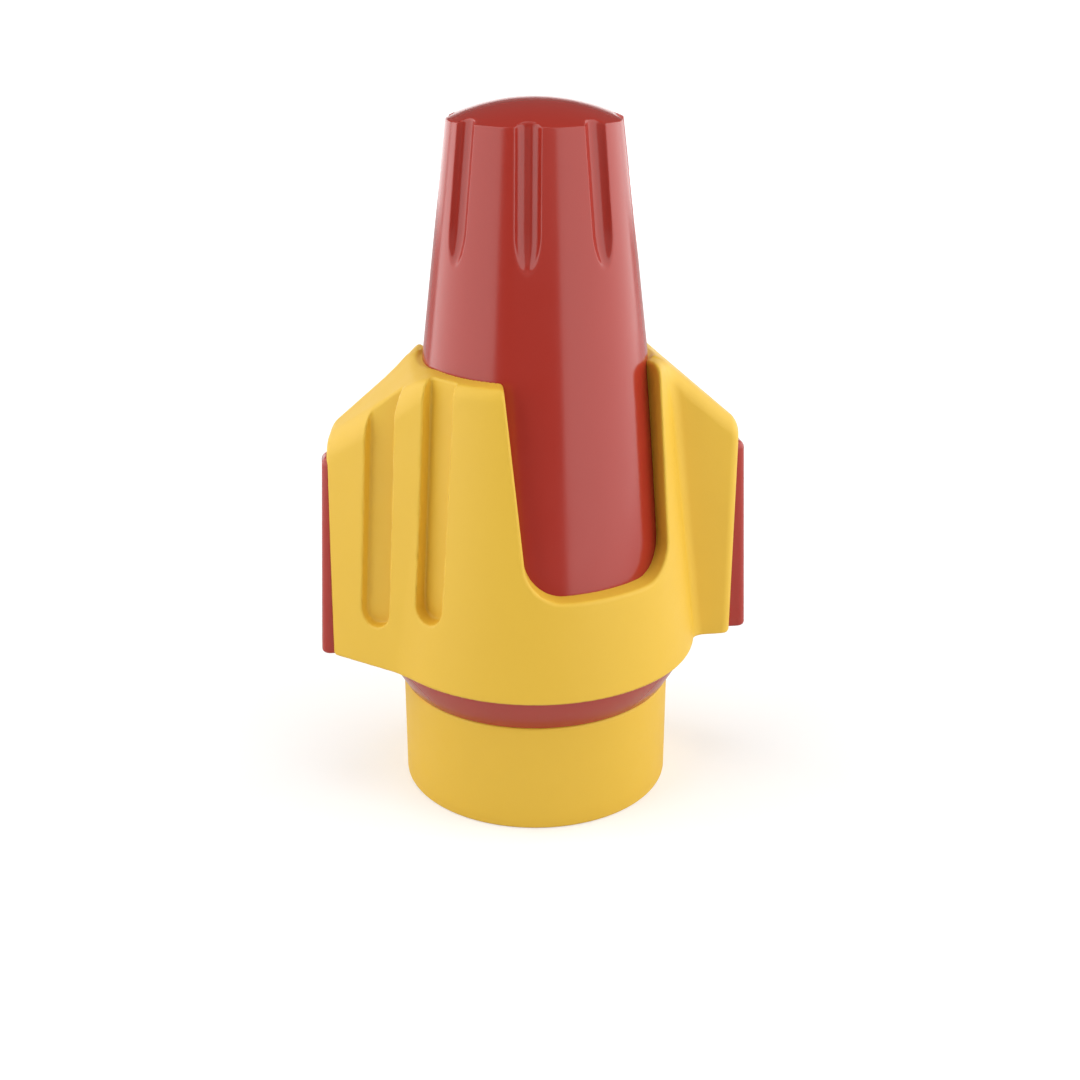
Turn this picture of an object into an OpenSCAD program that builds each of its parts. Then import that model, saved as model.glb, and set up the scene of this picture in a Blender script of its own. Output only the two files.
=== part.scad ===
// Winged twist-on wire connector: a moulded cap with a square-wire spring inside,
// a soft gripping cover with two wings, and a flexible skirt round the mouth.
// Millimetres. Origin at the centre of the skirt's open end, +Z towards the closed crown.
// The wings lie along X. Seen from above the whole part repeats after half a turn.

/* [Overall] */
// Height of the skirt's visible wall
skirt_h = 5.775; // [5.5:0.025:6]
// Outer radius of the skirt
skirt_r = 7; // [6.9:0.05:7.05]
// Height of the crown's rim above the open end
rim_z = 34.25; // [34:0.05:35]
// Distance between the tips of the two fins
fin_span = 22.5; // [22.3:0.1:23]

/* [Hard shell] */
// Radius of the crown's rim
rim_r = 4.17; // [4.1:0.01:4.3]
// How far the domed crown stands above its rim
crown_h = 0.93; // [0.8:0.05:1.1]
// Slope of the shell's outside, degrees from the axis
shell_slope = 7; // [6.8:0.1:7.1]
// Radius of the collar just under the cover
collar_r = 8.14; // [8:0.02:8.2]
// Height of the collar above the skirt
collar_h = 1.99; // [1.8:0.05:2.1]
// Number of flutes round the crown
flute_count = 8; // [6:1:10]
// Width of one flute
flute_w = 1.2; // [0.8:0.05:1.3]
// Depth of one flute
flute_depth = 0.42; // [0.3:0.02:0.5]
// Length of one flute, down from the rim
flute_len = 6.35; // [5:0.05:7]

/* [Grip cover] */
// Thickness of the cover on the shell
cover_t = 0.95; // [0.85:0.05:1]
// Height of the cover's top edge above the open end
cover_top = 22.95; // [22.75:0.05:23.1]
// Height of the window's floor above the open end
window_floor = 12.8; // [12.4:0.1:13.2]
// Distance from the axis to the window's left wall, at its floor
window_left = 0.855; // [0.7:0.05:1]
// Distance from the axis to the window's right wall
window_right = 4.385; // [4.2:0.05:4.5]
// Distance from the wing's mid-plane to its smooth face
smooth_face_y = 1.78; // [1.7:0.02:1.85]
// Distance from the axis to the grooved gripping face, at the cover's foot
grip_face_d = 7.865; // [7.8:0.01:7.95]
// Depth of the deeper of the two grooves in each gripping face
groove_depth = 0.6; // [0.4:0.05:0.7]

/* [Spring] */
// Side of the square spring wire
wire_t = 0.8; // [0.7:0.05:0.85]
// Number of coils
coils = 13; // [10:1:14]

/* [Skirt and bore] */
// Wall of the flexible skirt
skirt_wall = 1; // [0.95:0.05:1.05]
// Radius of the throat above the skirt
throat_r = 5.4; // [5.3:0.02:5.5]

/* [Hidden] */
$fn = 96;
big = 40;

// Heights up the axis.
foot_z = skirt_h + collar_h;
stub_z = 2.8;
spring_z0 = 9.8;
spring_z1 = 28.4;
nest_z = 31.2;
bore_end_z = 32.6;

// Radius of the shell's outside at height z.
shell_rate = tan(shell_slope);
function shell_r(z) = rim_r + (rim_z - z) * shell_rate;

// Radius of the conical bore the spring sits in, at height z.
bore_r0 = 5.3;
bore_rate = 0.139;
function bore_r(z) = bore_r0 - (z - spring_z0) * bore_rate;

// Spring envelope and its wire.
spring_gap = 0.03;
spring_steps = 40;
coil_twist = 360 * coils;

// Wing planes: the gripping face, the smooth face and the sloping top.
grip_face_bearing = 50.3;
grip_face_draft = 4.2;
wing_end_x = 10.42;
wing_end_bearing = -10;
wing_top_x = 6.04;
wing_top_z = 22.82;
wing_top_slope = 40.3;
wing_top_bearing = 3;
wing_shoulder_x = 10.1;
wing_root_turn = 19;
wing_root_u = 0.2;

// Windows: bearings of their left and right walls, and the left wall's lean.
window_left_bearing = -94;
window_right_bearing = -73.5;
window_lean = 5.7;
window_corner = 1.75;

// Fins: the hard plates inside the wings.
fin_tip_x = fin_span / 2;
fin_tip_draft = 3;
fin_smooth_y = 0.97;
fin_grip_y = 1.2;
fin_grip_draft = 3.4;
fin_top_z = 18.15;
fin_flat_x = 9.85;

// Grooves in the gripping face: [distance along the face, height of the rounded end, width,
// depth, bearing that the floor faces].
grooves = [
    [-4.7, 9.95, 1.69, groove_depth, 60],
    [-1.34, 10.95, 1.65, groove_depth - 0.05, 41]
];
groove_lean = 1.15;

// Points on an arc, for outlines.
function arc(centre, r, from, to, steps) = [
    for (i = [0:steps]) centre + r * [cos(from + (to - from) * i / steps), sin(from + (to - from) * i / steps)]
];

// Everything on the near side of a plane through height z on the axis.
// The plane faces along bearing az, tilted up by tilt, and lies dist from that point.
module behind_plane(az, tilt, dist, z) {
    translate([0, 0, z])
        rotate([0, -tilt, az])
            translate([dist - big, -big, -big])
                cube([big, 2 * big, 2 * big]);
}

// Copies its children half a turn round the axis.
module both_sides() {
    children();
    rotate([0, 0, 180])
        children();
}

// The outside of the shell without fins or flutes: stub, collar, cone and crown.
module shell_body() {
    dome_r = (rim_r * rim_r + crown_h * crown_h) / (2 * crown_h);
    rotate_extrude()
        polygon([
            [0, stub_z],
            [skirt_r - skirt_wall, stub_z],
            [skirt_r - skirt_wall, skirt_h],
            [skirt_r, skirt_h],
            [collar_r, foot_z],
            [shell_r(foot_z), foot_z],
            [rim_r, rim_z],
            [0, rim_z]
        ]);
    intersection() {
        translate([0, 0, rim_z])
            cylinder(r = rim_r, h = 2 * crown_h);
        translate([0, 0, rim_z + crown_h - dome_r])
            sphere(r = dome_r);
    }
}

// The space inside the shell: throat, spring seat, wire nest and rounded end.
module shell_bore() {
    rotate_extrude()
        polygon([
            [0, stub_z - 1],
            [throat_r + 1.3, stub_z - 1],
            [throat_r, stub_z + 0.3],
            [throat_r, spring_z0 - 0.5],
            [bore_r(spring_z0), spring_z0 - 0.1],
            [bore_r(spring_z1), spring_z1],
            [bore_r(nest_z), nest_z],
            [bore_r(nest_z) - 1, bore_end_z],
            [0, bore_end_z]
        ]);
}

// One fin: a drafted plate with a level shoulder at its tip and a slope up to the cone.
module fin() {
    slope = tan(wing_top_slope);
    intersection() {
        rotate([90, 0, 0])
            translate([0, 0, -big / 2])
                linear_extrude(big)
                    polygon([
                        [5, foot_z],
                        [fin_tip_x, foot_z],
                        [fin_tip_x - (fin_top_z - foot_z) * tan(fin_tip_draft), fin_top_z],
                        [fin_flat_x, fin_top_z],
                        [5, fin_top_z + (fin_flat_x - 5) * slope]
                    ]);
        behind_plane(-90, 0, fin_smooth_y, foot_z);
        behind_plane(90, fin_grip_draft, fin_grip_y, foot_z);
    }
}

// One flute: a round channel that narrows to a point at its lower end.
module flute() {
    r = (flute_w * flute_w / 4 + flute_depth * flute_depth) / (2 * flute_depth);
    taper = 1.6;
    translate([shell_r(rim_z - flute_len) + r - flute_depth, 0, rim_z - flute_len])
        rotate([0, -shell_slope, 0]) {
            translate([0, 0, taper])
                cylinder(r = r, h = flute_len);
            cylinder(r1 = r - flute_depth, r2 = r, h = taper);
        }
}

module hard_shell() {
    color([0.68, 0.16, 0.12])
        difference() {
            union() {
                shell_body();
                both_sides()
                    fin();
            }
            shell_bore();
            for (i = [0:flute_count - 1])
                rotate([0, 0, -102 + i * 360 / flute_count])
                    flute();
        }
}

// The plain ring of the cover, with a shoulder at its top edge and a small chamfer at its foot.
module cover_ring() {
    rotate_extrude()
        polygon([
            [shell_r(foot_z) - 0.5, foot_z],
            [shell_r(foot_z) + cover_t - 0.1, foot_z],
            [shell_r(foot_z + 0.1) + cover_t, foot_z + 0.1],
            [shell_r(cover_top - 0.5) + cover_t, cover_top - 0.5],
            [shell_r(cover_top - 0.15) + cover_t - 0.15, cover_top - 0.15],
            [shell_r(cover_top) + cover_t - 0.5, cover_top],
            [shell_r(cover_top) - 0.5, cover_top]
        ]);
}

// One wing, from the axis to its end, between its smooth and its gripping face.
// A narrow facet past the gripping face's root leads back into the ring.
module wing() {
    facet_bearing = grip_face_bearing + wing_root_turn;
    facet_d = grip_face_d * cos(wing_root_turn) + wing_root_u * sin(wing_root_turn);
    intersection() {
        translate([-fin_tip_x, -smooth_face_y, foot_z])
            cube([2 * fin_tip_x, big / 2, cover_top - foot_z]);
        behind_plane(grip_face_bearing, grip_face_draft, grip_face_d * cos(grip_face_draft), foot_z);
        behind_plane(facet_bearing, grip_face_draft, facet_d * cos(grip_face_draft), foot_z);
        behind_plane(facet_bearing + 90, 0, 0, foot_z);
        behind_plane(wing_end_bearing, 0, wing_end_x * cos(wing_end_bearing), foot_z);
        translate([wing_shoulder_x, 0, 0])
            behind_plane(wing_top_bearing, 22, 0, wing_top_z - (wing_shoulder_x - wing_top_x) * tan(wing_top_slope));
    }
}

// Everything under the sloping top of one wing.
module under_slope() {
    translate([wing_top_x, 0, 0])
        behind_plane(wing_top_bearing, 90 - wing_top_slope, 0, wing_top_z);
}

// The space left of a window's right wall, over its floor, with the rounded corner between them.
// The wall runs outwards along bearing, dist from the axis at the floor, and leans outwards.
module window_side(bearing, dist, lean) {
    top = big;
    rotate([0, 0, bearing])
        rotate([90, 0, 90])
            linear_extrude(big)
                polygon(concat(
                    arc([dist - window_corner, window_floor + window_corner], window_corner, -90, -lean, 8),
                    [
                        [dist + (top - window_floor) * tan(lean), top],
                        [-big, top],
                        [-big, window_floor]
                    ]
                ));
}

// The slot that makes the front window, open at the top and wider outwards.
module window() {
    intersection() {
        window_side(window_right_bearing, window_right, 0);
        mirror([1, 0, 0])
            window_side(-180 - window_left_bearing, window_left, window_lean);
    }
}

// One groove: flat floor, round lower end, open at the top of the wing.
module groove(along, end_z, w, depth, floor_bearing) {
    turn = floor_bearing - grip_face_bearing;
    floor_d = (grip_face_d - depth) * cos(turn) + along * sin(turn);
    difference() {
        translate([0, 0, foot_z])
            rotate([0, -grip_face_draft, grip_face_bearing])
                translate([grip_face_d * cos(grip_face_draft) - 2 * depth, along, end_z - foot_z + w / 2])
                    rotate([-groove_lean, 0, 0])
                        rotate([0, 90, 0]) {
                            cylinder(r = w / 2, h = 4);
                            translate([-20, -w / 2, 0])
                                cube([20, w, 4]);
                        }
        behind_plane(floor_bearing, grip_face_draft, floor_d * cos(grip_face_draft), foot_z);
    }
}

module grip_cover() {
    color([0.93, 0.75, 0.28])
        difference() {
            intersection() {
                union() {
                    cover_ring();
                    both_sides()
                        wing();
                }
                under_slope();
                rotate([0, 0, 180])
                    under_slope();
            }
            both_sides() {
                window();
                for (g = grooves)
                    groove(g[0], g[1], g[2], g[3], g[4]);
                fin();
                // Shallow crescent beside the shell at the root of the wing.
                translate([2.6, 0, cover_top - 0.1])
                    cylinder(r = 3.3, h = 5);
            }
            // The shell fills the middle.
            translate([0, 0, foot_z - 1])
                cylinder(r1 = shell_r(foot_z - 1), r2 = rim_r, h = rim_z - foot_z + 1);
        }
}

module flexible_skirt() {
    color([0.93, 0.75, 0.28])
        rotate_extrude()
            polygon([
                [skirt_r - skirt_wall, skirt_h],
                [skirt_r - skirt_wall, 0.3],
                [skirt_r - skirt_wall + 0.3, 0],
                [skirt_r - 0.12, 0],
                [skirt_r, 0.12],
                [skirt_r, skirt_h]
            ]);
}

// Corner c of the wire's square section, at fraction t along the coils.
function wire_corner(t, c) =
    let (
        z = spring_z0 + wire_t / 2 + t * (spring_z1 - spring_z0 - wire_t),
        r = bore_r(z + wire_t / 2) - spring_gap - wire_t / 2,
        a = t * coil_twist,
        out = r + wire_t / 2 * [1, 1, -1, -1][c],
        up = z + wire_t / 2 * [-1, 1, 1, -1][c]
    )
    [out * cos(a), out * sin(a), up];

module wire_spring() {
    steps = coils * spring_steps;
    points = [for (i = [0:steps]) for (c = [0:3]) wire_corner(i / steps, c)];
    sides = [for (i = [0:steps - 1]) for (c = [0:3])
        [4 * i + c, 4 * i + (c + 1) % 4, 4 * i + 4 + (c + 1) % 4, 4 * i + 4 + c]];
    color([0.72, 0.73, 0.75])
        polyhedron(points, concat([[3, 2, 1, 0]], sides, [[for (c = [0:3]) 4 * steps + c]]));
}

hard_shell();
grip_cover();
flexible_skirt();
wire_spring();
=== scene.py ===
"""Looks of a winged twist-on wire connector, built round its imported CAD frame.

Lengths are in millimetres until a mesh is made, and then in metres. Height z is up the
connector's axis from the skirt's open end. The shape repeats after half a turn.
"""

import math

import bpy
import numpy as np
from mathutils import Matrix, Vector


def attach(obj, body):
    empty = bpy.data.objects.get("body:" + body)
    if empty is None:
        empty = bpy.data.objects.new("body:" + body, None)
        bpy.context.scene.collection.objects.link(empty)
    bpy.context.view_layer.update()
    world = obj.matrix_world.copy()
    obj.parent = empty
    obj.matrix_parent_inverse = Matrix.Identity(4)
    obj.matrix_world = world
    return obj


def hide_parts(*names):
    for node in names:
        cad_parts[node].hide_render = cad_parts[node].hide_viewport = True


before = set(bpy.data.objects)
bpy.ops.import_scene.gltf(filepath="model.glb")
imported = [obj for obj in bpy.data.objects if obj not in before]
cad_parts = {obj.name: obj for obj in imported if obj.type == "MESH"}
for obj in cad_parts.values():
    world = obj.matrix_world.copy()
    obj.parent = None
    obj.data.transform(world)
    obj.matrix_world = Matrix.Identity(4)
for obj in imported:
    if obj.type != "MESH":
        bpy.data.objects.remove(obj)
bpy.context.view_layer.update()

MM = 0.001
TURN = 2 * math.pi

# Shell, as in the CAD model to within 0.02 mm.
SKIRT_R, SKIRT_H, SKIRT_WALL = 7.0, 5.775, 1.0
FOOT_Z = 7.765
COLLAR_R = 8.14
RIM_R, RIM_Z, CROWN_H = 4.17, 34.25, 0.925
SHELL_SLOPE = math.radians(7)
STUB_Z, THROAT_R = 2.8, 5.4
FLUTES, FLUTE_W, FLUTE_DEPTH, FLUTE_LEN, FLUTE_RUNOUT = 8, 1.22, 0.42, 6.35, 1.8
FLUTE_BEARING, FLUTE_EDGE = -102, 0.05

# Spring and the bore it sits in.
SPRING_Z0, SPRING_Z1, NEST_Z, BORE_END_Z = 9.8, 28.4, 31.2, 32.6
BORE_R0, BORE_RATE = 5.3, 0.139
WIRE, COILS, SPRING_GAP = 0.8, 13, 0.03

# Grip cover, as in the CAD model but for the low crest where each wing meets the ring.
COVER_T, COVER_TOP = 0.95, 22.95
SMOOTH_Y = 1.78
GRIP_BEARING, GRIP_DRAFT, GRIP_D = math.radians(50.3), math.radians(4.2), 7.865
ROOT_BEARING = math.radians(200)
END_BEARING, END_X = math.radians(-10), 10.42
TOP_X, TOP_Z, TOP_SLOPE, TOP_BEARING = 6.04, 22.82, math.radians(40.3), math.radians(3)
CREST_Z, CREST_FALL = 23.15, 0.07
RELIEF_X, RELIEF_R, RELIEF_Z = 2.6, 3.3, 22.85
WINDOW_FLOOR, WINDOW_CORNER = 12.8, 1.75
WINDOW_LEFT, LEFT_WALL, LEFT_LEAN = math.radians(-94), 0.855, math.radians(5.7)
WINDOW_RIGHT, RIGHT_WALL = math.radians(-73.5), 4.385
GROOVES = [(-4.7, 9.95, 1.69, 0.6, math.radians(60)), (-1.34, 10.95, 1.65, 0.55, math.radians(41))]
GROOVE_LEAN = 0.02
SHELL_OVERLAP = 0.12

# Radii of the cover's rounded edges.
WING_EDGE, CREST_EDGE, SLOPE_EDGE, FOOT_EDGE = 0.55, 0.6, 0.4, 0.15
WINDOW_EDGE, GROOVE_EDGE, GROOVE_CORNER = 0.18, 0.1, 0.12
RELIEF_EDGE, RELIEF_CORNER = 0.15, 0.25

# Fins. Their feet are a hair below the cover's, so that no two faces lie in one plane.
FIN_TIP_X, FIN_TIP_DRAFT = 11.25, math.radians(3)
FIN_SMOOTH_Y, FIN_GRIP_Y, FIN_GRIP_DRAFT = 0.97, 1.2, math.radians(3.4)
FIN_TOP_Z, FIN_FLAT_X, FIN_FOOT_Z = 18.15, 9.85, FOOT_Z - 0.03
FIN_ROOT_X = 5.0
FIN_EDGE, FIN_TOP_EDGE, FIN_FOOT_EDGE = 0.45, 0.35, 0.2

# Grids that the cover and one fin are meshed on: lowest corner, highest corner, cell size.
COVER_GRID = ((-11.4, -8.7, FOOT_Z - 0.3), (11.4, 8.7, 23.6), 0.125)
FIN_GRID = ((4.8, -1.4, FOOT_Z - 0.3), (11.5, 1.6, 23.2), 0.1)

# Camera: where it stands, and the bearing and pitch it looks along.
CAMERA_AT = (-10.03, -71.38, 42.31)
LOOK_BEARING, LOOK_PITCH = math.radians(81.81), math.radians(-22.13)

# Brightness of the lights and of the floor.
LEFT_LIGHT, RIGHT_LIGHT, FRONT_LIGHT, BACK_LIGHT = 1.54, 1.52, 0.3, 1.2
TOP_LIGHT, ROOM_LIGHT = 2.0, 0.14
FLOOR_WHITE, GLOW_NEAR, GLOW_FAR = 0.72, 0.33, 1.0

# Bearing of the camera's side of the part, and the softboxes round it, in degrees and metres:
# name, bearing off the camera's side, distance, height, width, tallness, brightness, aim height.
CAMERA_BEARING = -98
SOFTBOXES = [
    ("left_box", -85, 0.10, 0.11, 0.20, 0.22, LEFT_LIGHT, 0.11),
    ("right_box", 80, 0.11, 0.11, 0.30, 0.22, RIGHT_LIGHT, 0.11),
    ("front_box", 0, 0.20, 0.13, 0.20, 0.20, FRONT_LIGHT, 0.03),
    ("back_box", 180, 0.22, 0.035, 0.45, 0.07, BACK_LIGHT, 0.035),
    ("top_box", 0, 0.01, 0.30, 0.12, 0.12, TOP_LIGHT, 0.03),
]


def shell_r(z):
    """Radius of the shell's cone at height z."""
    return RIM_R + (RIM_Z - z) * math.tan(SHELL_SLOPE)


def bore_r(z):
    """Radius of the spring's conical seat at height z."""
    return BORE_R0 - (z - SPRING_Z0) * BORE_RATE


# ---- Shapes as distance fields: below zero inside, about one per millimetre ----

def cut_round(a, b, r):
    """What is inside both a and b, with their edge rounded to radius r."""
    edge = np.hypot(np.maximum(a + r, 0), np.maximum(b + r, 0))
    return np.minimum(-r, np.maximum(a, b)) + edge


def join_round(a, b, r):
    """What is inside a or b, with the corner between them filled to radius r."""
    edge = np.hypot(np.maximum(r - a, 0), np.maximum(r - b, 0))
    return np.maximum(r, np.minimum(a, b)) - edge


def plane(x, y, z, bearing, tilt, point):
    """Distance in front of a plane through point that faces bearing and is tilted up."""
    nx = math.cos(bearing) * math.cos(tilt)
    ny = math.sin(bearing) * math.cos(tilt)
    nz = math.sin(tilt)
    return (x - point[0]) * nx + (y - point[1]) * ny + (z - point[2]) * nz


def cone_field(x, y, z, grow):
    """Distance outside the shell's cone, grown by grow."""
    return (np.hypot(x, y) - shell_r(z) - grow) * math.cos(SHELL_SLOPE)


def grip_face(x, y, z):
    """Distance in front of the wing's grooved face. Past its root it runs round the axis."""
    ahead = x * math.cos(GRIP_BEARING) + y * math.sin(GRIP_BEARING)
    past = np.maximum(-x * math.sin(GRIP_BEARING) + y * math.cos(GRIP_BEARING), 0)
    reach = np.where(past > 0, np.hypot(ahead, past), ahead)
    return (reach - GRIP_D) * math.cos(GRIP_DRAFT) + (z - FOOT_Z) * math.sin(GRIP_DRAFT)


def groove_field(x, y, z, along, end_z, width, depth, floor_bearing):
    """The space of one groove, whose floor may face a little off the grooved face."""
    rise = z - (end_z + width / 2)
    u = -x * math.sin(GRIP_BEARING) + y * math.cos(GRIP_BEARING) - along - GROOVE_LEAN * rise
    sides = np.hypot(u, np.minimum(rise, 0)) - width / 2
    reach = GRIP_D - depth
    middle = (reach * math.cos(GRIP_BEARING) - along * math.sin(GRIP_BEARING),
              reach * math.sin(GRIP_BEARING) + along * math.cos(GRIP_BEARING), FOOT_Z)
    return cut_round(sides, -plane(x, y, z, floor_bearing, GRIP_DRAFT, middle), GROOVE_CORNER)


def wing_sides(x, y, z):
    """The wing on +X between its smooth and its grooved face, endless upwards."""
    sides = cut_round(grip_face(x, y, z), -y - SMOOTH_Y, WING_EDGE)
    return np.maximum(sides, plane(x, y, z, ROOT_BEARING, 0, (0, 0, 0)))


def top_field(x, y, z):
    """The cover's top: level on the ring, sloping on the wings, with a low crest between."""
    top = z - COVER_TOP
    for side in (1, -1):
        lid = z - CREST_Z + CREST_FALL * (side * y + SMOOTH_Y)
        top = np.minimum(top, cut_round(wing_sides(side * x, side * y, z), lid, CREST_EDGE))
    for side in (1, -1):
        slope = plane(side * x, side * y, z, TOP_BEARING, math.pi / 2 - TOP_SLOPE,
                      (TOP_X, 0, TOP_Z))
        top = cut_round(top, slope, SLOPE_EDGE)
    return top


def upright(x, y, z, bearing, lean, distance):
    """Distance past a wall that faces bearing, distance from the axis at the windows' floor."""
    foot = (distance * math.cos(bearing), distance * math.sin(bearing), WINDOW_FLOOR)
    return plane(x, y, z, bearing, -lean, foot)


def window_field(x, y, z):
    """The space of the front window, between two walls that open outwards."""
    left = upright(x, y, z, WINDOW_LEFT - math.pi / 2, LEFT_LEAN, LEFT_WALL)
    right = upright(x, y, z, WINDOW_RIGHT + math.pi / 2, 0, RIGHT_WALL)
    slot = cut_round(np.maximum(left, right), WINDOW_FLOOR - z, WINDOW_CORNER)
    return np.maximum(slot, y)


def relief_field(x, y, z):
    """The shallow crescent beside the cone where the wing on +X stands above the ring."""
    return cut_round(np.hypot(x - RELIEF_X, y) - RELIEF_R, RELIEF_Z - z, RELIEF_CORNER)


def cover_field(x, y, z):
    """The whole grip cover. Its edges are rounder where the wings run out than at the ring."""
    body = cone_field(x, y, z, COVER_T)
    for side in (1, -1):
        corner = 0.5 - 0.25 * np.clip(0.5 + side * y / 2, 0, 1)
        body = join_round(body, wing_sides(side * x, side * y, z), corner)
    shoulder = 0.5 + 0.3 * np.clip(np.hypot(x, y) - 6.5, 0, 1)
    body = cut_round(body, top_field(x, y, z), shoulder)
    for side in (1, -1):
        end = plane(side * x, side * y, z, END_BEARING, 0, (END_X, 0, 0))
        body = cut_round(body, end, 0.15 + 0.25 * np.clip(0.5 - side * y, 0, 1))
    body = cut_round(body, FOOT_Z - z, FOOT_EDGE)
    for side in (1, -1):
        body = cut_round(body, -window_field(side * x, side * y, z), WINDOW_EDGE)
        body = cut_round(body, -relief_field(side * x, side * y, z), RELIEF_EDGE)
        for groove in GROOVES:
            body = cut_round(body, -groove_field(side * x, side * y, z, *groove), GROOVE_EDGE)
    return np.maximum(body, -cone_field(x, y, z, -SHELL_OVERLAP))


def fin_field(x, y, z):
    """The fin on +X."""
    tip = plane(x, y, z, 0, FIN_TIP_DRAFT, (FIN_TIP_X, 0, FOOT_Z))
    grip = plane(x, y, z, math.pi / 2, FIN_GRIP_DRAFT, (0, FIN_GRIP_Y, FOOT_Z))
    slope = plane(x, y, z, 0, math.pi / 2 - TOP_SLOPE, (FIN_FLAT_X, 0, FIN_TOP_Z))
    top = np.minimum(z - FIN_TOP_Z, slope)
    sides = cut_round(cut_round(tip, -y - FIN_SMOOTH_Y, FIN_EDGE), grip, FIN_EDGE)
    capped = cut_round(cut_round(sides, top, FIN_TOP_EDGE), FIN_FOOT_Z - z, FIN_FOOT_EDGE)
    return np.maximum(capped, FIN_ROOT_X - x)


def gradient(field, points, step=0.01):
    """Slope of the field at each point."""
    out = np.empty_like(points)
    for axis in range(3):
        shift = np.zeros(3)
        shift[axis] = step
        ahead = field(*(points + shift).T)
        behind = field(*(points - shift).T)
        out[:, axis] = (ahead - behind) / (2 * step)
    return out


def mesh_field(field, low, high, cell):
    """Points, quads and normals of a field's surface: one point in each grid cell it crosses."""
    axes = [np.arange(a, b + cell, cell) for a, b in zip(low, high)]
    values = field(*np.meshgrid(*axes, indexing="ij"))
    inside = values < 0
    corners = [(i, j, k) for i in (0, 1) for j in (0, 1) for k in (0, 1)]
    size = np.array(values.shape) - 1

    def corner_of(grid, c):
        return grid[c[0]:c[0] + size[0], c[1]:c[1] + size[1], c[2]:c[2] + size[2]]

    filled = sum(corner_of(inside, c).astype(np.int8) for c in corners)
    crossed = (filled > 0) & (filled < 8)
    cells = np.argwhere(crossed)
    index = np.full(size, -1, np.int64)
    index[crossed] = np.arange(len(cells))

    total = np.zeros((len(cells), 3))
    count = np.zeros(len(cells))
    for a in corners:
        for b in corners:
            if sum(b) != sum(a) + 1 or any(q < p for p, q in zip(a, b)):
                continue
            va = corner_of(values, a)[crossed]
            vb = corner_of(values, b)[crossed]
            cut = (va < 0) != (vb < 0)
            t = np.where(cut, va / np.where(cut, va - vb, 1), 0)
            where = np.array(a) + t[:, None] * (np.array(b) - np.array(a))
            total += where * cut[:, None]
            count += cut
    points = np.array(low) + (cells + total / count[:, None]) * cell

    quads = []
    for axis in range(3):
        u, v = (axis + 1) % 3, (axis + 2) % 3
        near = [slice(1, -1)] * 3
        near[axis] = slice(0, -1)
        far = list(near)
        far[axis] = slice(1, None)
        near_in, far_in = inside[tuple(near)], inside[tuple(far)]
        for first, second, flip in ((near_in, far_in, False), (far_in, near_in, True)):
            at = np.argwhere(first & ~second)
            ring = []
            for du, dv in ((0, 0), (1, 0), (1, 1), (0, 1)):
                cell_at = at.copy()
                cell_at[:, u] += du
                cell_at[:, v] += dv
                ring.append(index[tuple(cell_at.T)])
            quad = np.stack(ring, 1)
            quads.append(quad[:, ::-1] if flip else quad)
    quads = np.concatenate(quads)

    for _ in range(3):
        slope = gradient(field, points)
        steep = np.maximum((slope ** 2).sum(1), 0.1)
        step = field(*points.T) / steep
        points -= np.clip(step, -cell / 2, cell / 2)[:, None] * slope
    normals = gradient(field, points)
    normals /= np.maximum(np.linalg.norm(normals, axis=1), 1e-6)[:, None]
    return points, quads, normals


def half_turn(points):
    """Points or normals turned half a turn round the axis."""
    return points * np.array([-1, -1, 1])


# ---- Shapes turned on the axis ----

def arc(centre_r, centre_z, radius, start, end, steps):
    """Points of an arc in the outline's plane, degrees from +r towards +z."""
    angles = np.radians(np.linspace(start, end, steps + 1))
    return [(centre_r + radius * math.cos(a), centre_z + radius * math.sin(a)) for a in angles]


def soften(outline, radius, steps=4):
    """An outline with each corner replaced by a short arc-like curve."""
    points = [np.array(p, float) for p in outline]
    out = [points[0]]
    for before, at, after in zip(points, points[1:], points[2:]):
        to_before, to_after = before - at, after - at
        reach = min(radius, np.linalg.norm(to_before) * 0.45, np.linalg.norm(to_after) * 0.45)
        start = at + to_before / np.linalg.norm(to_before) * reach
        end = at + to_after / np.linalg.norm(to_after) * reach
        for t in np.linspace(0, 1, steps + 1):
            out.append((1 - t) ** 2 * start + 2 * t * (1 - t) * at + t ** 2 * end)
    out.append(points[-1])
    return out


def subdivide(outline, longest):
    """An outline with no stretch longer than longest."""
    out = [np.array(outline[0], float)]
    for a, b in zip(outline, outline[1:]):
        a, b = np.array(a, float), np.array(b, float)
        steps = max(1, math.ceil(np.linalg.norm(b - a) / longest))
        out += [a + (b - a) * i / steps for i in range(1, steps + 1)]
    return out


def turn(outline, bearings, radius_at=None):
    """Points and faces of an outline turned round the axis. It is closed unless it ends on it."""
    outline = np.array(outline, float)
    open_ended = outline[0][0] < 1e-6 and outline[-1][0] < 1e-6
    rows = outline[1:-1] if open_ended else outline
    r = np.repeat(rows[:, :1], len(bearings), 1)
    z = np.repeat(rows[:, 1:], len(bearings), 1)
    if radius_at is not None:
        r = radius_at(r, z, np.tile(bearings, (len(rows), 1)))
    points = np.stack([r * np.cos(bearings), r * np.sin(bearings), z], -1).reshape(-1, 3)
    n, m = len(rows), len(bearings)
    grid = np.arange(n * m).reshape(n, m)
    if not open_ended:
        grid = np.concatenate([grid, grid[:1]])
    here, right = grid, np.roll(grid, -1, 1)
    quads = np.stack([here[:-1], right[:-1], right[1:], here[1:]], -1).reshape(-1, 4)
    faces = [tuple(q) for q in quads]
    if open_ended:
        poles = np.array([[0, 0, outline[0][1]], [0, 0, outline[-1][1]]])
        points = np.concatenate([points, poles])
        first, last = n * m, n * m + 1
        for i in range(m):
            j = (i + 1) % m
            faces.append((first, grid[0][j], grid[0][i]))
            faces.append((last, grid[-1][i], grid[-1][j]))
    return points, faces


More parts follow.
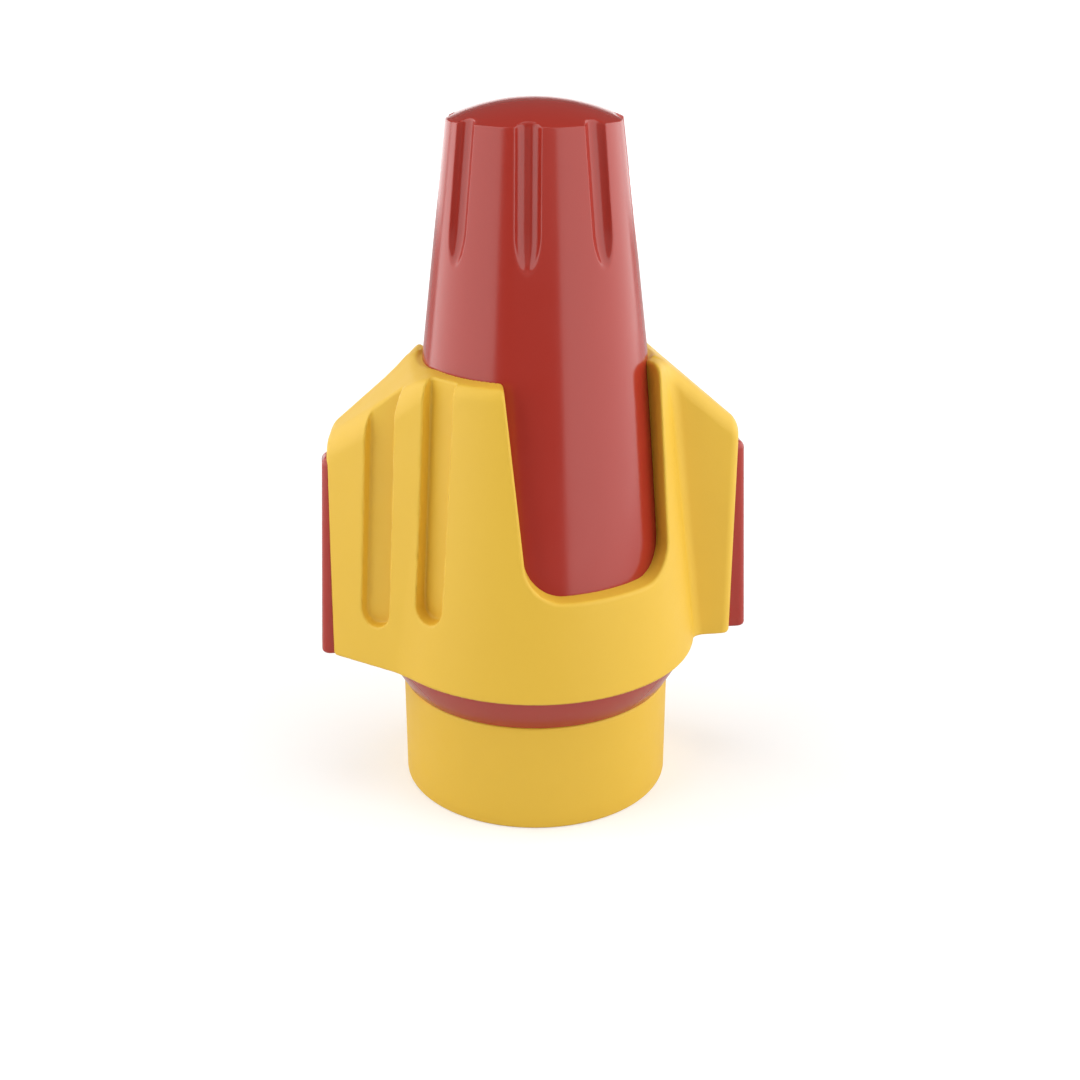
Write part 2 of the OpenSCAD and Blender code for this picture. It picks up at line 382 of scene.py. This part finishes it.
def flute_radius(r, z, bearing):
    """Moves points of the shell's outside in to make the flutes."""
    deep_r = (FLUTE_W ** 2 / 4 + FLUTE_DEPTH ** 2) / (2 * FLUTE_DEPTH)
    hidden = deep_r - FLUTE_DEPTH
    pitch = TURN / FLUTES
    offset = (bearing - math.radians(FLUTE_BEARING) + pitch / 2) % pitch - pitch / 2
    w = r * np.sin(offset)
    run = np.clip((RIM_Z - FLUTE_LEN + FLUTE_RUNOUT - z) / FLUTE_RUNOUT, 0, 1)
    reach = deep_r ** 2 * (1 - run ** 2) - w ** 2
    depth = np.where(reach > 0, np.sqrt(np.maximum(reach, 0)), 0) - hidden
    depth = np.where(reach > 0, depth, -hidden - np.abs(w))
    softened = 0.5 * (depth + np.sqrt(depth ** 2 + FLUTE_EDGE ** 2)) - 0.002
    flute_zone = (z > RIM_Z - FLUTE_LEN - 0.4) & (r > shell_r(z) - 0.25)
    at_rim = (z > RIM_Z - 0.02)
    limit = np.minimum(r, (RIM_R + 0.001) - softened)
    return np.where(at_rim, limit, np.where(flute_zone, r - np.maximum(softened, 0), r))


def flute_bearings():
    """Bearings round the axis, closer together where the flutes are."""
    pitch = TURN / FLUTES
    dense = np.linspace(-0.22, 0.22, 45)
    sparse = np.linspace(0.22, 0.78, 16)[1:-1]
    one = np.concatenate([dense, sparse]) * pitch
    start = math.radians(FLUTE_BEARING)
    return np.concatenate([start + i * pitch + one for i in range(FLUTES)])


def shell_outline():
    """The shell's outline, from the crown's middle down the outside and up the bore."""
    dome_r = (RIM_R ** 2 + CROWN_H ** 2) / (2 * CROWN_H)
    dome_z = RIM_Z + CROWN_H - dome_r
    edge = math.degrees(math.asin((RIM_R - 0.05) / dome_r))
    dome = arc(0, dome_z, dome_r, 90, 90 - edge, 24)
    outside = [(RIM_R - 0.01, RIM_Z), (shell_r(RIM_Z - 0.05), RIM_Z - 0.05)]
    plain_z = RIM_Z - FLUTE_LEN - 0.7
    flank = subdivide([outside[-1], (shell_r(plain_z), plain_z)], 0.14)
    foot = soften([
        (shell_r(plain_z), plain_z),
        (shell_r(FOOT_Z), FOOT_Z),
        (COLLAR_R, FOOT_Z),
        (SKIRT_R, SKIRT_H),
        (SKIRT_R - SKIRT_WALL, SKIRT_H),
        (SKIRT_R - SKIRT_WALL, STUB_Z),
        (THROAT_R + 0.3, STUB_Z),
        (THROAT_R, STUB_Z + 0.35),
        (THROAT_R, SPRING_Z0 - 0.5),
        (bore_r(SPRING_Z0), SPRING_Z0 - 0.1),
        (bore_r(NEST_Z), NEST_Z),
        (bore_r(NEST_Z) - 1, BORE_END_Z),
        (0, BORE_END_Z),
    ], 0.1, 3)
    return dome + outside + flank[1:-1] + foot


def skirt_outline():
    """The flexible skirt's outline, a closed loop."""
    inner = SKIRT_R - SKIRT_WALL
    corners = [
        (inner + 0.5, 0.0),
        (SKIRT_R, 0.0),
        (SKIRT_R, SKIRT_H),
        (inner, SKIRT_H),
        (inner, 0.0),
        (inner + 0.5, 0.0),
    ]
    return subdivide(soften(corners, 0.16), 0.5)[:-1]


def spring_mesh():
    """The square-wire spring: a rounded section carried along a conical coil."""
    steps, corner = COILS * 48, 0.09
    half = WIRE / 2
    section = []
    for cx, cy, start in ((1, 1, 0), (-1, 1, 90), (-1, -1, 180), (1, -1, 270)):
        section += arc(cx * (half - corner), cy * (half - corner), corner, start, start + 90, 3)
    section = np.array(section)
    t = np.arange(steps + 1) / steps
    z = SPRING_Z0 + half + t * (SPRING_Z1 - SPRING_Z0 - WIRE)
    r = bore_r(z + half) - SPRING_GAP - half
    a = t * COILS * TURN
    out = r[:, None] + section[:, 0]
    points = np.stack([out * np.cos(a)[:, None], out * np.sin(a)[:, None],
                       z[:, None] + section[:, 1]], -1).reshape(-1, 3)
    m = len(section)
    faces = []
    for i in range(steps):
        for j in range(m):
            k = (j + 1) % m
            faces.append((i * m + j, (i + 1) * m + j, (i + 1) * m + k, i * m + k))
    faces.append(tuple(range(m)))
    faces.append(tuple(steps * m + j for j in reversed(range(m))))
    return points, faces


# ---- Objects ----

def make_object(name, points, faces, material, node, normals=None):
    """A smooth-shaded piece that rides on the part and stands for a CAD node."""
    mesh = bpy.data.meshes.new(name)
    mesh.from_pydata((np.asarray(points) * MM).tolist(), [], [tuple(map(int, f)) for f in faces])
    mesh.validate()
    mesh.shade_smooth()
    if normals is not None:
        mesh.normals_split_custom_set_from_vertices(normals.tolist())
    mesh.materials.append(material)
    piece = bpy.data.objects.new(name, mesh)
    bpy.context.scene.collection.objects.link(piece)
    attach(piece, "root")
    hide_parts(node)
    return piece


# ---- Materials ----

# A colour mix node's sockets, which share their names with its other kinds' sockets.
MIX_SHARE, MIX_FIRST, MIX_SECOND, MIX_RESULT = 0, 6, 7, 2
GRAIN_HEIGHT = 0.00002


class Nodes:
    """Small helper that adds and links shader nodes."""

    def __init__(self, tree):
        self.tree = tree

    def add(self, kind, inputs=None, **settings):
        node = self.tree.nodes.new(kind)
        for key, value in settings.items():
            setattr(node, key, value)
        for key, value in (inputs or {}).items():
            if isinstance(value, bpy.types.NodeSocket):
                self.tree.links.new(value, node.inputs[key])
            else:
                node.inputs[key].default_value = value
        return node


def new_material(name):
    """A material with a Principled shader, its helper and the object's own coordinates."""
    material = bpy.data.materials.new(name)
    material.use_nodes = True
    nodes = Nodes(material.node_tree)
    shader = material.node_tree.nodes["Principled BSDF"]
    place = nodes.add("ShaderNodeTexCoord").outputs["Object"]
    return material, nodes, shader, place


def noise(nodes, place, scale, detail=3.0, rough=0.55):
    """Noise at scale features per metre."""
    return nodes.add("ShaderNodeTexNoise", {
        "Vector": place, "Scale": scale, "Detail": detail, "Roughness": rough,
    }).outputs["Fac"]


def spread(nodes, value, low, high):
    """A noise value spread over a range."""
    return nodes.add("ShaderNodeMapRange", {
        "Value": value, "From Min": 0.3, "From Max": 0.7, "To Min": low, "To Max": high,
    }).outputs["Result"]


def blend(nodes, share, first, second):
    """Two colours mixed by a share, through the mix node's own colour sockets."""
    mix = nodes.add("ShaderNodeMix", {
        MIX_SHARE: share, MIX_FIRST: (*first, 1), MIX_SECOND: (*second, 1),
    }, data_type="RGBA")
    return mix.outputs[MIX_RESULT]


def moulded(name, colour, deep, roughness, uneven, grain, depth):
    """A moulded surface: slight colour drift, uneven gloss and a fine grain."""
    material, nodes, shader, place = new_material(name)
    drift = spread(nodes, noise(nodes, place, 180), 0, 1)
    share = nodes.add("ShaderNodeMath", {0: drift, 1: 0.5}, operation="MULTIPLY").outputs[0]
    tree = material.node_tree
    tree.links.new(blend(nodes, share, colour, deep), shader.inputs["Base Color"])
    gloss = spread(nodes, noise(nodes, place, 900, 4), roughness - uneven, roughness + uneven)
    tree.links.new(gloss, shader.inputs["Roughness"])
    bump = nodes.add("ShaderNodeBump", {
        "Height": noise(nodes, place, grain, 2), "Strength": depth, "Distance": GRAIN_HEIGHT,
    })
    tree.links.new(bump.outputs["Normal"], shader.inputs["Normal"])
    return material, shader


def red_plastic():
    """Glossy hard plastic."""
    material, shader = moulded("red_hard_plastic", (0.37, 0.028, 0.017), (0.355, 0.026, 0.015),
                               0.18, 0.02, 6000, 0.04)
    shader.inputs["IOR"].default_value = 1.5
    return material


def yellow_elastomer():
    """Satin soft-touch elastomer."""
    material, shader = moulded("yellow_elastomer", (0.76, 0.475, 0.043), (0.74, 0.455, 0.040),
                               0.48, 0.04, 9000, 0.3)
    shader.inputs["IOR"].default_value = 1.45
    return material


def zinc_steel():
    """Drawn, zinc-plated wire."""
    material, nodes, shader, place = new_material("zinc_plated_steel")
    tree = material.node_tree
    shader.inputs["Metallic"].default_value = 1.0
    tint = spread(nodes, noise(nodes, place, 1500, 4), 0.0, 1.0)
    colour = blend(nodes, tint, (0.55, 0.56, 0.58), (0.72, 0.73, 0.75))
    tree.links.new(colour, shader.inputs["Base Color"])
    gloss = spread(nodes, noise(nodes, place, 2500, 4), 0.22, 0.42)
    tree.links.new(gloss, shader.inputs["Roughness"])
    return material


# ---- Stage ----

def make_camera():
    """A 50 mm lens where the photographer stood, looking a little down."""
    data = bpy.data.cameras.new("camera")
    data.lens, data.sensor_width = 50, 36
    data.clip_start, data.clip_end = 0.001, 20
    camera = bpy.data.objects.new("camera", data)
    bpy.context.scene.collection.objects.link(camera)
    camera.location = Vector(CAMERA_AT) * MM
    level = math.cos(LOOK_PITCH)
    look = Vector((level * math.cos(LOOK_BEARING), level * math.sin(LOOK_BEARING),
                   math.sin(LOOK_PITCH)))
    camera.rotation_mode = "QUATERNION"
    camera.rotation_quaternion = look.to_track_quat("-Z", "Y")
    bpy.context.scene.camera = camera


def make_floor():
    """A plain pale floor with a painted glow, seen only by the camera, that grows stronger away
    from the part.
    """
    mesh = bpy.data.meshes.new("floor")
    reach = 3.0
    corners = [(-reach, -reach, 0), (reach, -reach, 0), (reach, reach, 0), (-reach, reach, 0)]
    mesh.from_pydata(corners, [], [(0, 1, 2, 3)])
    material, nodes, shader, place = new_material("floor_paper")
    shader.inputs["Base Color"].default_value = (FLOOR_WHITE, FLOOR_WHITE, FLOOR_WHITE, 1)
    shader.inputs["Roughness"].default_value = 1.0
    shader.inputs["Specular IOR Level"].default_value = 0.0
    # Painted light: the floor's emission stands in for light on it, weak near the part (GLOW_NEAR)
    # and strong far off (GLOW_FAR).
    away = nodes.add("ShaderNodeVectorMath", {0: place}, operation="LENGTH").outputs["Value"]
    glow = nodes.add("ShaderNodeMapRange", {
        "Value": away, "From Min": 0.02, "From Max": 0.30, "To Min": GLOW_NEAR, "To Max": GLOW_FAR,
    }).outputs["Result"]
    seen = nodes.add("ShaderNodeLightPath").outputs["Is Camera Ray"]
    strength = nodes.add("ShaderNodeMath", {0: glow, 1: seen}, operation="MULTIPLY")
    material.node_tree.links.new(strength.outputs[0], shader.inputs["Emission Strength"])
    shader.inputs["Emission Color"].default_value = (1, 1, 1, 1)
    mesh.materials.append(material)
    floor = bpy.data.objects.new("floor", mesh)
    bpy.context.scene.collection.objects.link(floor)


def softbox(name, turned, distance, height, width, tall, radiance, aim_z):
    """A large soft rectangular light that faces the part."""
    data = bpy.data.lights.new(name, "AREA")
    data.shape, data.size, data.size_y = "RECTANGLE", width, tall
    data.energy = 4 * radiance * width * tall
    light = bpy.data.objects.new(name, data)
    bpy.context.scene.collection.objects.link(light)
    a = math.radians(CAMERA_BEARING + turned)
    light.location = Vector((distance * math.cos(a), distance * math.sin(a), height))
    aim = Vector((0, 0, aim_z)) - light.location
    light.rotation_mode = "QUATERNION"
    light.rotation_quaternion = aim.to_track_quat("-Z", "Y")
    light.visible_camera = False


def make_light():
    """Large softboxes left and right, weaker ones in front, behind and above, in a dim room."""
    for settings in SOFTBOXES:
        softbox(*settings)
    world = bpy.data.worlds.new("room")
    world.use_nodes = True
    nodes = Nodes(world.node_tree)
    background = world.node_tree.nodes["Background"]
    background.inputs["Color"].default_value = (1, 1, 1, 1)
    seen = nodes.add("ShaderNodeLightPath").outputs["Is Camera Ray"]
    strength = nodes.add("ShaderNodeMapRange", {"Value": seen, "To Min": ROOM_LIGHT, "To Max": 1.0})
    world.node_tree.links.new(strength.outputs["Result"], background.inputs["Strength"])
    bpy.context.scene.world = world
    bpy.context.scene.view_settings.view_transform = "Standard"


def build():
    """Every piece of the connector."""
    red, yellow, steel = red_plastic(), yellow_elastomer(), zinc_steel()
    points, quads, normals = mesh_field(cover_field, *COVER_GRID)
    make_object("grip_overmould", points, quads, yellow, "grip_cover", normals)

    points, faces = turn(shell_outline(), flute_bearings(), flute_radius)
    fin_points, fin_quads, _ = mesh_field(fin_field, *FIN_GRID)
    faces = list(faces)
    for fin in (fin_points, half_turn(fin_points)):
        start = len(points)
        points = np.concatenate([points, fin])
        faces += [tuple(q + start) for q in fin_quads]
    make_object("shell_moulding", points, faces, red, "hard_shell")

    round_bearings = np.linspace(0, TURN, 193)[:-1]
    points, faces = turn(skirt_outline(), round_bearings)
    make_object("skirt_sleeve", points, faces, yellow, "flexible_skirt")

    points, faces = spring_mesh()
    make_object("spring_coil", points, faces, steel, "wire_spring")


make_camera()
make_floor()
make_light()
build()
